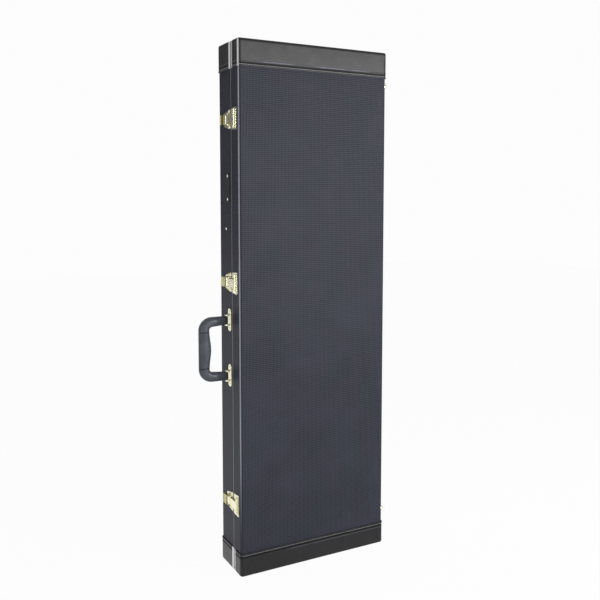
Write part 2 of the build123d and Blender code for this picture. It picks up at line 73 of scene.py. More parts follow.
# %% [markdown]
# ## The camera
# The photograph's own camera was worked out from the case's corners and fittings: about a metre and a half
# away, to the left and at three quarters of the case's height, looking a little down. It could be aimed by
# eye, but the corners' places in the picture fix it within two pixels. A small lens shift, as a studio camera
# has it, keeps the upright edges nearly parallel.

# %% Camera
CAMERA_PLACE = Vector((-0.7478, -1.3844, 0.7553))
CAMERA_YAW = math.radians(28.07)
CAMERA_PITCH = math.radians(4.64)
FOCAL_LENGTH_PIXELS = 753.2
AXIS_PIXEL_ROW = 260
FRAME_PIXELS = 600
SENSOR_WIDTH_MM = 36

camera_data = bpy.data.cameras.new("photo_camera")
camera_data.sensor_width = SENSOR_WIDTH_MM
camera_data.lens = SENSOR_WIDTH_MM * FOCAL_LENGTH_PIXELS / FRAME_PIXELS
camera_data.shift_y = (AXIS_PIXEL_ROW - FRAME_PIXELS / 2) / FRAME_PIXELS
camera = bpy.data.objects.new("photo_camera", camera_data)
bpy.context.scene.collection.objects.link(camera)
forward = Vector((math.sin(CAMERA_YAW) * math.cos(CAMERA_PITCH),
                  math.cos(CAMERA_YAW) * math.cos(CAMERA_PITCH), -math.sin(CAMERA_PITCH)))
camera.location = CAMERA_PLACE
camera.rotation_mode = "QUATERNION"
camera.rotation_quaternion = forward.to_track_quat("-Z", "Y")
bpy.context.scene.camera = camera
print("lens", round(camera_data.lens, 2), "mm, shift", round(camera_data.shift_y, 4))

# %% [markdown]
# ## Shader maths as plain Python
# A finish is a small sum: some noise, some weave, a ramp. Wired by hand that is many nodes, so one class
# wraps a socket and lets Python's own operators add the Math nodes. Numbers alone stay in Python. A second
# class adds every other kind of node, for a material or for the sky.


# %% Sockets that add up like numbers
class Value:
    """A number, colour or vector that changes from place to place: the output of a node."""

    def __init__(self, wiring, socket):
        self.wiring, self.socket = wiring, socket

    def math(self, operation, other=0.0, swap=False):
        pair = (other, self) if swap else (self, other)
        return self.wiring.node("ShaderNodeMath", {"operation": operation}, {0: pair[0], 1: pair[1]})

    def __add__(self, other):
        return self.math("ADD", other)

    def __mul__(self, other):
        return self.math("MULTIPLY", other)

    def __sub__(self, other):
        return self.math("SUBTRACT", other)

    def __rsub__(self, other):
        return self.math("SUBTRACT", other, swap=True)

    def __gt__(self, other):
        return self.math("GREATER_THAN", other)

    def __lt__(self, other):
        return self.math("LESS_THAN", other)

    def __abs__(self):
        return self.math("ABSOLUTE")

    __radd__ = __add__
    __rmul__ = __mul__

    def sine(self):
        return self.math("SINE")

    def larger(self, other):
        return self.math("MAXIMUM", other)

    def between(self, low, high):
        """0 below low, 1 above high, and a soft step in between."""
        ends = {"clamp": True, "interpolation_type": "SMOOTHSTEP"}
        return self.wiring.node("ShaderNodeMapRange", ends, {0: self, 1: low, 2: high, 3: 0.0, 4: 1.0})

    def blend(self, first, second):
        """The first number where this is 0, the second where it is 1."""
        return first + (second - first) * self


print("a value knows:", ", ".join(name.strip("_") for name in vars(Value) if callable(vars(Value)[name])))


# %% Any other node
class Wiring:
    """Adds nodes to one node tree."""

    def __init__(self, tree):
        self.tree = tree

    def connect(self, socket, amount):
        """Set a socket to a number or colour, or link it to a value. None leaves it as it is."""
        if isinstance(amount, Value):
            self.tree.links.new(amount.socket, socket)
        elif amount is not None:
            socket.default_value = amount

    def node(self, kind, settings, sockets, output=0):
        """Any node: its settings first, then its sockets' numbers or links."""
        made = self.tree.nodes.new(kind)
        for key, setting in settings.items():
            setattr(made, key, setting)
        for key, amount in sockets.items():
            self.connect(made.inputs[key], amount)
        return Value(self, made.outputs[output])

    def outputs(self, kind, sockets, *names):
        """Several outputs of one node."""
        made = self.node(kind, {}, sockets).socket.node
        return [Value(self, made.outputs[name]) for name in names]


print("a tree of nodes knows:", ", ".join(name for name in vars(Wiring) if not name.startswith("_")))

# %% [markdown]
# ## A finish
# A finish is one material. Its patterns are laid out in metres on the object itself, so a weave has its real
# size on every piece, whatever the piece's shape. Texture maps that are unwrapped could do it too, but these
# pieces have no seams to unwrap along.


# %% One material, and how solids get it
class Finish(Wiring):
    """A material with its main shader, and the patterns that finishes are made of."""

    def __init__(self, name, **plain):
        self.material = bpy.data.materials.new(name)
        self.material.use_nodes = True
        super().__init__(self.material.node_tree)
        self.shader = self.tree.nodes["Principled BSDF"]
        for socket, amount in plain.items():
            self.put(socket.replace("_", " "), amount)

    def put(self, socket, amount):
        """Set or link one socket of the shader."""
        self.connect(self.shader.inputs[socket], amount)

    def place(self):
        """Where the surface lies on the object, in metres."""
        return self.node("ShaderNodeTexCoord", {}, {}, "Object")

    def axes(self):
        """The same place as three numbers."""
        return self.outputs("ShaderNodeSeparateXYZ", {0: self.place()}, "X", "Y", "Z")

    def noise(self, size, detail=3.0, roughness=0.55, stretch=None):
        """Noise with features of about this size in metres, between 0 and 1."""
        vector = self.place()
        if stretch:
            vector = self.node("ShaderNodeVectorMath", {"operation": "MULTIPLY"}, {0: vector, 1: stretch})
        return self.node("ShaderNodeTexNoise", {}, {"Vector": vector, "Scale": 1 / size, "Detail": detail,
                                                    "Roughness": roughness}, "Fac")

    def cells(self, size):
        """Distance to the nearest of many scattered points."""
        return self.node("ShaderNodeTexVoronoi", {}, {"Vector": self.place(), "Scale": 1 / size}, "Distance")

    def mix(self, amount, first, second):
        """From the first colour to the second."""
        ends = [colour if isinstance(colour, Value) else (*colour, 1.0) for colour in (first, second)]
        return self.node("ShaderNodeMix", {"data_type": "RGBA"}, {0: amount, 6: ends[0], 7: ends[1]}, 2)

    def bump(self, height, depth, strength=1.0, under=None):
        """A height between 0 and 1, turned into a surface this many metres deep."""
        return self.node("ShaderNodeBump", {}, {"Height": height, "Distance": depth, "Strength": strength,
                                                "Normal": under})


def dress(finish, *names):
    """Put a finish on solids by name."""
    for name in names:
        mesh = nodes[name].data
        mesh.materials.clear()
        mesh.materials.append(finish.material)
    print(finish.material.name, "has", len(finish.tree.nodes), "nodes and dresses", len(names), "solids")


print("solids to dress:", len(nodes))

# %% [markdown]
# ## Embossed vinyl
# The covering is black vinyl, pressed with a fine diamond weave about 6 mm across. The diamonds could be cut
# into the mesh, but there are tens of thousands, so two families of slanting waves draw them in the material.
# Where the surface faces sideways the waves run along the case's depth instead of its width, so the pattern
# wraps round the edges. The hollows between the diamonds are painted nearly black as shade, and handling
# polishes the crests a little. A painted highlight runs down the long rounded edges on the side with the
# handle, less and less towards the tail.

# %% Finish of the covering
WEAVE_PITCH = 6.2 * MM
WEAVE_SLANT = 0.82
WEAVE_DEPTH = 0.32 * MM
HIGHLIGHT_FADE = 250 * MM


def edge_highlight_band(x, y, reach, from_side, from_face):
    """1 on the two rounded edges of the handle's side, between limits that are measured inwards: where a
    highlight is painted.
    """
    beside = (-1 * x).between(reach - from_side[0], reach - from_side[1])
    outside = abs(y).between(back_y - from_face[0], back_y - from_face[1])
    return beside * outside


def vinyl_finish():
    """Black vinyl with pressed diamonds, painted shade in their hollows and a painted highlight on its long
    edges.
    """
    vinyl = Finish("embossed_vinyl", IOR=1.5, Specular_IOR_Level=0.12)
    x, y, z = vinyl.axes()
    around = x + y
    turns = 2 * math.pi / WEAVE_PITCH
    one_way = ((around + z * WEAVE_SLANT) * turns).sine()
    other_way = ((around - z * WEAVE_SLANT) * turns).sine()
    diamonds = one_way * other_way * 0.5 + 0.5
    grain = vinyl.noise(1.1 * MM, 2.0)
    blotches = vinyl.noise(90 * MM, 4.0)
    hues = vinyl.noise(60 * MM, 2.0).between(0.4, 0.6)
    scuffs = vinyl.noise(7 * MM, 6.0, 0.7, stretch=(1, 1, 0.25)).between(0.58, 0.8)
    # Painted highlight: the rounded edges on the handle's side are coloured pale, fading towards the tail.
    edge_highlight = edge_highlight_band(x, y, side_x, (2.4 * MM, 1.3 * MM), (6.3 * MM, 4.6 * MM))
    edge_highlight = edge_highlight * (0.6 + 0.4 * blotches) * z.between(tail_edge_z, tail_edge_z + HIGHLIGHT_FADE)
    tint = vinyl.mix(hues, (0.045, 0.053, 0.067), (0.055, 0.050, 0.073))
    # Painted shade: the hollows between the diamonds are coloured nearly black.
    dark = vinyl.mix(diamonds.between(0.2, 0.9), (0.015, 0.017, 0.023), tint)
    toned = vinyl.mix(blotches.between(0.3, 0.75) * 0.4, dark, (0.048, 0.051, 0.072))
    edge_lit = vinyl.mix(edge_highlight, toned, (0.44, 0.45, 0.51))
    vinyl.put("Base Color", vinyl.mix(scuffs * 0.10, edge_lit, (0.12, 0.12, 0.13)))
    vinyl.put("Roughness", 0.46 - diamonds * 0.10 + blotches * 0.08 - edge_highlight * 0.1)
    low = vinyl.bump(grain, 0.05 * MM, 0.7)
    vinyl.put("Normal", vinyl.bump(diamonds, WEAVE_DEPTH, 0.8, low))
    return vinyl


dress(vinyl_finish(), "base_covering", "lid_covering")

# %% [markdown]
# ## Smooth leatherette
# The end caps are a smoother, shinier leathercloth. Its pores are a scatter of small cells, only just deep
# enough to break up the gloss. A painted highlight runs down its corners at the head on the handle's side. It
# is pressed into a shallow groove beside each hem, where shade is painted nearly black, and a painted
# highlight in dashes marks the pressed line further in. The top edge at the head gets a band of painted
# shade, and the caps at the tail are painted darker and duller in front. Masks painted by hand could place
# all that.
# Here they follow the distance from a hem, an end or an edge, so one material serves the four caps.

# %% Finish of the end caps
GROOVE_FROM_HEM = 6.2 * MM
WELT_FROM_HEM = 10.5 * MM
BLACK = (0.003, 0.003, 0.004)


def leatherette_finish():
    """Glossy leathercloth with fine pores: painted shade in its groove and over its top edge, and painted
    highlights on its pressed line and head corners.
    """
    cloth = Finish("smooth_leatherette", IOR=1.5, Specular_IOR_Level=0.3, Coat_Roughness=0.22)
    x, y, z = cloth.axes()
    pores = cloth.cells(1.6 * MM)
    creases = cloth.noise(26 * MM, 5.0, 0.6)
    blotches = cloth.noise(120 * MM, 3.0)
    from_hem = (tail_edge_z - z).larger(z - head_edge_z)
    groove = 1 - abs(from_hem - GROOVE_FROM_HEM).between(1.2 * MM, 3.4 * MM)
    # Painted highlight in dashes along the pressed line.
    welt_highlight = 1 - abs(from_hem - WELT_FROM_HEM).between(0.4 * MM, 1.0 * MM)
    # Painted shade over the top edge at the head.
    top_edge_shade = z.between(case_top - 7.0 * MM, case_top - 4.5 * MM)
    # Painted highlight down the head corners on the handle's side.
    corner = edge_highlight_band(x, y, half_width, (2.9 * MM, 1.8 * MM), (5.6 * MM, 4.1 * MM)) * (z > head_edge_z)
    # Darker and duller in front at the tail.
    tail_front_darker = (z < tail_edge_z) * (1 - y.between(front_y + 2 * MM, front_y + 6 * MM))
    tone = cloth.mix(creases.between(0.35, 0.7) * 0.6, (0.020, 0.020, 0.022), (0.034, 0.034, 0.036))
    pored = cloth.mix(pores.between(0.55, 0.9) * 0.35, tone, (0.010, 0.010, 0.011))
    welt_highlighted = cloth.mix(welt_highlight * blotches.between(0.4, 0.55) * 0.8, pored, (0.20, 0.19, 0.24))
    # Painted shade: the groove beside the hem is coloured nearly black.
    shaded = cloth.mix(groove * 0.85, welt_highlighted, BLACK)
    ends_darkened = cloth.mix(top_edge_shade * 0.85 + tail_front_darker * 0.6, shaded, BLACK)
    cloth.put("Base Color", cloth.mix(corner * (0.6 + 0.4 * blotches), ends_darkened, (0.92, 0.92, 0.94)))
    duller = groove * 0.3 + top_edge_shade * 0.25 + tail_front_darker * 0.16
    cloth.put("Roughness", 0.30 + blotches * 0.10 + pores * 0.08 + duller)
    cloth.put("Coat Weight", (0.10 + creases * 0.14) * (1 - groove) * (1 - top_edge_shade) * (1 - tail_front_darker))
    fine = cloth.bump(pores, 0.10 * MM, 0.5)
    pressed = cloth.bump(1 - groove, 0.5 * MM, 0.5, fine)
    cloth.put("Normal", cloth.bump(creases, 0.5 * MM, 0.25, pressed))
    return cloth


cap_cloth = leatherette_finish()
dress(cap_cloth, "base_tail_cap", "base_head_cap", "lid_tail_cap", "lid_head_cap")

# %% [markdown]
# ## Gold plating and steel
# Metals meet the eye in the fittings: pale gold plating, and the steel of pins and studs. A metal's colour is
# its reflection, so a perfectly smooth one looks like a mirror. What makes one look real is its making:
# pressed sheet has soft waves, and hands leave smudges, where the plating is duller. A picture of worn metal
# could supply them, but noise of three sizes never repeats. The levers are polished flat, and their gold is
# painted about half as bright as the plates' gold, as shade, so they stay darker than the plates round them.


# %% Finishes of the fittings
def metal_finish(name, colour, tarnish, rough, wave_depth=0.9 * MM, metallic=0.88):
    """A plated metal with pressed waves of this depth, smudges and tarnish."""
    metal = Finish(name, Metallic=metallic)
    smudges = metal.noise(9 * MM, 4.0)
    pressed = metal.noise(3.2 * MM, 2.0)
    brushed = metal.noise(0.8 * MM, 2.0)
    metal.put("Base Color", metal.mix(smudges.between(0.5, 0.8) * 0.5, colour, tarnish))
    metal.put("Roughness", rough + smudges * 0.10 + brushed * 0.05)
    waves = metal.bump(pressed, wave_depth, 0.8)
    metal.put("Normal", metal.bump(brushed, 0.02 * MM, 0.5, waves))
    return metal


gold = metal_finish("gold_plate", (1.0, 0.97, 0.74), (0.70, 0.66, 0.36), 0.14)
# The levers' gold is a copy painted about half as bright, as shade.
shaded_lever_gold = metal_finish("polished_shaded_gold", (0.50, 0.47, 0.22), (0.24, 0.22, 0.09), 0.05,
                          wave_depth=0.25 * MM, metallic=1.0)
steel = metal_finish("nickelled_steel", (0.92, 0.92, 0.92), (0.66, 0.65, 0.64), 0.16)
plated = [name for name in nodes if name.startswith(("hinge_base", "hinge_lid", "latch_", "handle_plate"))]
dress(gold, *plated, "handle_rivets", "handle_pins", "hinge_rivets_base", "hinge_rivets_lid",
      "base_feet", "lid_feet")
dress(shaded_lever_gold, *(name for name in nodes if name.startswith("latch_lever")))
dress(steel, "hinge_pins", "latch_pivot_pins", "nameplate_rivets", "side_stud", "handle_core")

# %% [markdown]
# ## The valance
# The valance is the aluminium strip that both trays are framed with. It is satin and pale where it shows
# broadly at the ends. Along the body, where only a thin bead of it stands out between the coverings, its
# colour is darkened nearly to black. On the lid's strip a band beside the seam is painted nearly black, as
# the shadow of a gap there. Each strip could be cut into lengths with finishes of their own, but it is one
# strip all round, so these differences follow the height and the depth in the material.


# %% Finish of the valance
def valance_finish(name, brightness, gap_shadow_width=None):
    """Satin aluminium with drawn lines, and a band of painted shadow this wide beside the seam."""
    metal = Finish(name, Metallic=0.15, IOR=1.6)
    _, y, z = metal.axes()
    lines = metal.noise(0.6 * MM, 2.0, 0.6, stretch=(0.05, 1.0, 0.05))
    smudges = metal.noise(30 * MM, 4.0)
    # Along the body the colour is darkened nearly to black.
    along_body = (z > tail_edge_z) * (z < head_edge_z)
    bright = metal.mix(smudges * 0.3, (brightness,) * 3, (brightness * 0.9,) * 3)
    tone = metal.mix(along_body * (0.80 + smudges * 0.2), bright, (0.13, 0.13, 0.145))
    if gap_shadow_width:
        # Painted shadow: a band beside the seam coloured nearly black, standing in for a gap.
        gap_shadow = (y - (seam_y - gap_shadow_width)).between(-0.3 * MM, 0.3 * MM) * (y < seam_y + 0.1 * MM)
        tone = metal.mix(gap_shadow, tone, (0.015, 0.015, 0.017))
    metal.put("Base Color", tone)
    metal.put("Roughness", 0.30 + lines * 0.12 + smudges * 0.08)
    metal.put("Normal", metal.bump(lines, 0.02 * MM, 0.5))
    return metal


dress(valance_finish("polished_aluminium", 1.0), "base_valance")
dress(valance_finish("lid_aluminium", 0.7, gap_shadow_width=3.0 * MM), "lid_valance")

# %% [markdown]
# ## Moulded handle and black plate
# The handle is moulded vinyl over a steel core, with a pebble grain that a hand rubs shinier in places. Two
# dark joints cross it, where the grip's sleeve meets the arms. The small plate on the side is black and bare.
# Pebbles as shapes would take a face for each, so they are a bump. Both pieces are hard and slightly glossy,
# and share one recipe.

# %% Finishes of the handle and the plate
grip_low, grip_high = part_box("handle_grip")
grip_middle_z = (grip_low.z + grip_high.z) / 2
GRIP_JOINT = 36 * MM
JOINT_REACH = 30 * MM


def moulded_finish(name, dark, light, rough, joints=None):
    """Moulded plastic with a pebble grain, shinier where a hand rubs it."""
    plastic = Finish(name, IOR=1.48, Specular_IOR_Level=0.32)
    pebbles = plastic.cells(1.3 * MM)
    rubbed = plastic.noise(22 * MM, 3.0)
    tone = plastic.mix(rubbed.between(0.35, 0.7) * 0.7, dark, light)
    if joints:
        tone = plastic.mix(joints(plastic), tone, (0.004, 0.004, 0.005))
    plastic.put("Base Color", tone)
    plastic.put("Roughness", rough + pebbles * 0.12 - rubbed * 0.14)
    plastic.put("Normal", plastic.bump(pebbles, 0.10 * MM, 0.6))
    return plastic


def grip_joints(plastic):
    """1 in the two lines across the grip, and 0 on the arms."""
    x, _, z = plastic.axes()
    near = 1 - abs(abs(z - grip_middle_z) - GRIP_JOINT).between(0.5 * MM, 1.3 * MM)
    return near * (x < grip_low.x + JOINT_REACH)


handle_vinyl = moulded_finish("moulded_handle", (0.052, 0.060, 0.072), (0.090, 0.102, 0.120), 0.32,
                              grip_joints)
dress(handle_vinyl, "handle_grip")
dress(moulded_finish("black_plate", (0.040, 0.039, 0.030), (0.062, 0.060, 0.046), 0.30), "nameplate")

# %% [markdown]
# ## Bare wood
# The trays are plywood. It shows only at the rims and through the rivet holes, but it still gets its long
# grain and its thin dark glue lines, because someone may take the part to pieces. The layers could be solids
# of their own, but a wave texture shows them as well.


# %% Finish of the wood
def wood_finish():
    """Plywood: long grain on the faces and thin dark glue lines."""
    wood = Finish("plywood", IOR=1.45)
    grain = wood.noise(3 * MM, 6.0, 0.65, stretch=(1.0, 1.0, 0.08))
    pale = wood.mix(grain, (0.62, 0.45, 0.27), (0.42, 0.28, 0.15))
    layers = wood.node("ShaderNodeTexWave", {"bands_direction": "X"},
                       {"Vector": wood.place(), "Scale": 160.0, "Distortion": 0.6}, "Fac")
    wood.put("Base Color", wood.mix(layers.between(0.75, 0.95) * 0.5, pale, (0.25, 0.15, 0.08)))
    wood.put("Roughness", 0.6 + grain * 0.2)
    wood.put("Normal", wood.bump(grain, 0.1 * MM, 0.5))
    return wood


dress(wood_finish(), "base_shell", "lid_shell")

# %% [markdown]
# ## Plush and thread
# The inside is lined with short-pile plush. Pile catches light at its tips, which is a sheen, and lies in
# patches where a hand has brushed it. Hair strands would be truer close up, but from arm's length a fine
# bump under the sheen looks the same. The caps are sewn with pale thread, and the pull tab is black ribbon.


# %% Finishes of plush, ribbon and thread
def plush_finish():
    """Short pile that lies this way and that."""
    pile = Finish("plush", Sheen_Weight=0.7, Sheen_Roughness=0.4, Specular_IOR_Level=0.1)
    brushed = pile.noise(38 * MM, 5.0, 0.6)
    fibres = pile.noise(0.9 * MM, 3.0, 0.8)
    tone = pile.mix(brushed.between(0.38, 0.62), (0.060, 0.055, 0.066), (0.088, 0.081, 0.095))
    pile.put("Base Color", pile.mix(fibres * 0.5, tone, (0.03, 0.027, 0.033)))
    pile.put("Roughness", 0.85 + fibres * 0.1)
    nap = pile.bump(fibres, 0.5 * MM, 0.8)
    pile.put("Normal", pile.bump(brushed, 1.2 * MM, 0.3, nap))
    return pile


def thread_finish(name, pale, deep):
    """Twisted thread, or a ribbon's fine ribs."""
    thread = Finish(name, Specular_IOR_Level=0.3)
    twist = thread.noise(0.5 * MM, 2.0)
    thread.put("Base Color", thread.mix(twist, pale, deep))
    thread.put("Roughness", 0.55 + twist * 0.2)
    thread.put("Normal", thread.bump(twist, 0.1 * MM, 0.6))
    return thread


plush = plush_finish()
pale_thread = thread_finish("pale_thread", (0.62, 0.62, 0.64), (0.40, 0.40, 0.43))
ribbon_weave = thread_finish("ribbon", (0.035, 0.034, 0.036), (0.015, 0.015, 0.016))
print("materials so far:", len(bpy.data.materials))

# %% [markdown]
# ## Helpers for meshes
# Every piece made here ends the same way: its mesh gets a finish, its name, and the body it moves with. Long
# pieces are swept: rings of points are joined into a skin. A curve with a bevel could sweep them too, but its
# section can't change on the way, and a handle's does.

# %% Turn points into a riding piece
UP = Vector((0, 0, 1))


def turn(count):
    """Angles spread evenly over a full turn."""
    return [math.tau * k / count for k in range(count)]


def skin(form, rings):
    """Join rings of points into a closed skin with a flat end on each side."""
    for first, second in zip(rings, rings[1:]):
        for k in range(len(first)):
            n = (k + 1) % len(first)
            form.faces.new((first[k], first[n], second[n], second[k]))
    form.faces.new(rings[0])
    form.faces.new(list(reversed(rings[-1])))


def from_bmesh(name, form):
    """Write a bmesh into a new mesh with its faces turned outwards."""
    bmesh.ops.recalc_face_normals(form, faces=form.faces)
    mesh = bpy.data.meshes.new(name)
    form.to_mesh(mesh)
    form.free()
    return mesh


def piece(name, mesh, finish, body):
    """Link a smooth mesh as a piece of the case that moves with one body."""
    made = bpy.data.objects.new(name, mesh)
    bpy.context.scene.collection.objects.link(made)
    mesh.materials.append(finish.material)
    mesh.polygons.foreach_set("use_smooth", [True] * len(mesh.polygons))
    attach(made, body)
    print(name, "has", len(mesh.polygons), "faces and moves with", body)
    return made


print("angles round a stitch:", [round(math.degrees(a)) for a in turn(6)])

# %% [markdown]
# ## Hems of the end caps
# Each cap is folded under along its open edge and sewn down. On the real cap that leaves a rolled edge, a
# shallow pressed line about 10 mm in, and a row of pale stitches beside the roll. A bump could draw them, but
# the camera sees the roll from the side, where only a shape stands out. All three follow the cap's rounded
# outline, so one function walks round that outline in the plane of the edge.

# %% Walk round a cap's outline
OUTLINE_STEP = 1.5 * MM
CORNER_STEPS = 10


def outline_round(y_from, y_to):
    """Points and outward directions along the case's outline between two planes across its depth.

    The walk starts on one side at the seam, goes round the front or the back, and ends on the other side.
    """
    sign = 1 if y_to > y_from else -1
    middle_x = half_width - LONG_EDGE_RADIUS
    corner_y = y_to - sign * LONG_EDGE_RADIUS
    walk = []

    def straight(start, end, out):
        count = max(2, int((end - start).length / OUTLINE_STEP))
        for i in range(count):
            walk.append((start.lerp(end, i / count), out))

    def corner(centre, start_out, end_out):
        for i in range(CORNER_STEPS):
            out = start_out.lerp(end_out, i / CORNER_STEPS).normalized()
            walk.append((centre + out * LONG_EDGE_RADIUS, out))

    left, right, ahead = Vector((-1, 0, 0)), Vector((1, 0, 0)), Vector((0, sign, 0))
    straight(Vector((-half_width, y_from, 0)), Vector((-half_width, corner_y, 0)), left)
    corner(Vector((-middle_x, corner_y, 0)), left, ahead)
    straight(Vector((-middle_x, y_to, 0)), Vector((middle_x, y_to, 0)), ahead)
    corner(Vector((middle_x, corner_y, 0)), ahead, right)
    straight(Vector((half_width, corner_y, 0)), Vector((half_width, y_from, 0)), right)
    walk.append((Vector((half_width, y_from, 0)), right))
    return walk


base_walk = outline_round(cap_low.y, back_y)
lid_walk = outline_round(lid_cap_high.y, front_y)
print("points on the walk round the base:", len(base_walk), "and round the lid:", len(lid_walk))

# %% Hems, pressed lines and stitches of the four caps
ROLL_FROM_HEM = 0.9 * MM
ROLL_HEIGHT = 1.3 * MM
ROLL_THICKNESS = 0.75 * MM
ROLL_LIFT = 0.05 * MM
STITCH_FROM_HEM = 3.6 * MM
STITCH_PITCH = 4.2 * MM
STITCH_REACH = 0.36 * STITCH_PITCH
STITCH_RADIUS = 0.42 * MM
STITCH_ARCH = 0.2 * MM
STITCH_FORM = ((-1, 0.25), (-0.6, 0.85), (0, 1.0), (0.6, 0.85), (1, 0.25))
roll = [(math.cos(a) * ROLL_THICKNESS + ROLL_LIFT, math.sin(a) * ROLL_HEIGHT) for a in turn(12)]
welt = [(-0.2 * MM, -0.9 * MM), (0.30 * MM, -0.55 * MM), (0.42 * MM, 0), (0.30 * MM, 0.55 * MM),
        (-0.2 * MM, 0.9 * MM)]


def rolled_strip(name, walk, height, profile, body):
    """Sweep a closed profile of (out, up) points along a walk at one height."""
    form = bmesh.new()
    skin(form, [[form.verts.new(point + out * o + UP * (height + u)) for o, u in profile]
                for point, out in walk])
    piece(name, from_bmesh(name, form), cap_cloth, body)


def stitches(name, walk, height, body):
    """A row of short raised stitches along a walk, each fat in its middle and thin where it goes in."""
    form = bmesh.new()
    travelled, last = 0.0, walk[0][0]
    for (point, out), (ahead, _) in zip(walk, walk[1:]):
        travelled += (point - last).length
        last = point
        if travelled < STITCH_PITCH or (ahead - point).length < 1e-6:
            continue
        travelled = 0.0
        along = (ahead - point).normalized()
        spokes = [(out * math.cos(a) + UP * math.sin(a)) * STITCH_RADIUS for a in turn(6)]
        rings = []
        for t, fat in STITCH_FORM:
            centre = point + along * t * STITCH_REACH + UP * height + out * STITCH_ARCH * (1 - abs(t))
            rings.append([form.verts.new(centre + spoke * fat) for spoke in spokes])
        skin(form, rings)
    piece(name, from_bmesh(name, form), pale_thread, body)


caps = {"base_tail": ("base", base_walk, tail_edge_z, -1), "lid_tail": ("lid", lid_walk, tail_edge_z, -1),
        "base_head": ("base", base_walk, head_edge_z, 1), "lid_head": ("lid", lid_walk, head_edge_z, 1)}
for cap, (body, walk, edge_z, inward) in caps.items():
    rolled_strip(cap + "_hem_roll", walk, edge_z + inward * ROLL_FROM_HEM, roll, body)
    rolled_strip(cap + "_pressed_welt", walk, edge_z + inward * WELT_FROM_HEM, welt, body)
    stitches(cap + "_stitches", walk, edge_z + inward * STITCH_FROM_HEM, body)
print("caps sewn:", len(caps))

# %% [markdown]
# ## The moulded handle
# The handle is one moulding: a fat grip that swells towards the palm, two arms that thin down to eyes round
# the pins, and two shallow joints across the grip. A block could be sculpted down to it. It is swept as rings
# of a rounded section along a D instead, because a ring can change its width and depth on the way. The
# section is squarer at the eyes and rounder at the grip.

# %% The handle's lower end
pin_low, pin_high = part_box("handle_pins")
handle_y = (pin_low.y + pin_high.y) / 2
pin_x = (pin_low.x + pin_high.x) / 2
half_grip = (grip_high.z - grip_low.z) / 2
GRIP_WIDTH = grip_high.y - grip_low.y
GRIP_DEPTH = 22 * MM
ARM_HEIGHT = 17 * MM
ARM_GROWTH = 3 * MM
EYE_WIDTH = 9 * MM
FLARE_START, FLARE_LENGTH, FLARE_POWER = 0.2, 0.6, 1.3
OUTER_CORNER = 27 * MM
PART_STEPS = 12
bend_x = grip_low.x + OUTER_CORNER


def lower_arm():
    """Rings from the eye round the lower pin out to the corner: centre, inward direction, depth, width."""
    for i in range(PART_STEPS + 1):
        t = i / PART_STEPS
        depth = ARM_HEIGHT + ARM_GROWTH * t
        flare = min(1.0, max(0.0, (t - FLARE_START) / FLARE_LENGTH)) ** FLARE_POWER
        centre = Vector((pin_x + (bend_x - pin_x) * t, 0, -half_grip + depth / 2))
        yield centre, UP, depth, EYE_WIDTH + (GRIP_WIDTH - EYE_WIDTH) * flare


def lower_corner():
    """Rings round the lower outer corner, from the arm's depth to the grip's."""
    corner = Vector((bend_x, 0, -half_grip + OUTER_CORNER))
    arm_depth = ARM_HEIGHT + ARM_GROWTH
    for i in range(1, PART_STEPS):
        a = math.pi / 2 * i / PART_STEPS
        inward = Vector((math.sin(a), 0, math.cos(a)))
        depth = arm_depth + (GRIP_DEPTH - arm_depth) * i / PART_STEPS
        yield corner - inward * (OUTER_CORNER - depth / 2), inward, depth, GRIP_WIDTH


lower_end = [*lower_arm(), *lower_corner()]
upper_end = [(Vector((c.x, 0, -c.z)), Vector((d.x, 0, -d.z)), depth, width)
             for c, d, depth, width in reversed(lower_end)]
print("rings in each end of the handle:", len(lower_end))

# %% The straight grip
GRIP_SWELL = 3.5 * MM
SWELL_POWER = 2.2
JOINT_DEPTH = 1.1 * MM
JOINT_STEPS = [d * MM for d in (-1.2, -0.7, -0.3, 0.3, 0.7, 1.2)]


def grip():
    """Rings along the straight grip, swollen in its middle and sunk at its two joints."""
    straight_half = half_grip - OUTER_CORNER
    steps = [straight_half * (i / PART_STEPS - 1) for i in range(2 * PART_STEPS + 1)]
    steps += [side * (GRIP_JOINT + d) for side in (-1, 1) for d in JOINT_STEPS]
    for z in sorted(steps):
        depth = GRIP_DEPTH + GRIP_SWELL * max(0.0, math.cos(math.pi / 2 * z / straight_half)) ** SWELL_POWER
        sunk = JOINT_DEPTH if abs(abs(z) - GRIP_JOINT) < 0.5 * MM else 0.0
        centre = Vector((grip_low.x + depth / 2, 0, z))
        yield centre, Vector((1, 0, 0)), depth - sunk, GRIP_WIDTH - sunk


middle = list(grip())
print("rings in the grip:", len(middle), "deepest", round(max(ring[2] for ring in middle) / MM, 1), "mm")

# %% Sweep the handle
SECTION_POINTS = 28
EYE_POWER, ADDED_POWER = 0.62, 0.26


def section(centre, inward, depth, width):
    """Points of one ring."""
    power = EYE_POWER + ADDED_POWER * (width - EYE_WIDTH) / (GRIP_WIDTH - EYE_WIDTH)
    for a in turn(SECTION_POINTS):
        c, s = math.cos(a), math.sin(a)
        along = math.copysign(abs(c) ** power, c) * depth / 2
        across = math.copysign(abs(s) ** power, s) * width / 2
        yield centre + inward * along + Vector((0, across + handle_y, grip_middle_z))


def handle_mesh():
    """The swept D, its upper end a mirror image of the lower one."""
    form = bmesh.new()
    skin(form, [[form.verts.new(point) for point in section(*ring)]
                for ring in (*lower_end, *middle, *upper_end)])
    return from_bmesh("handle_moulding", form)


handle = piece("handle_moulding", handle_mesh(), handle_vinyl, "handle")
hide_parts("handle_grip")

# %% [markdown]
# ## Plush pads
# Each pad is a block of foam wrapped in plush. Foam never keeps a sharp corner: the cloth pulls it in at the
# edges and it crowns in the middle. A cloth simulation could find that form, but firm foam moves so little
# that a rule does as well. Each pad starts as a finely divided block the size of its solid, its corners are
# rounded, and every point is pulled in towards the block's edges and shivers a little.

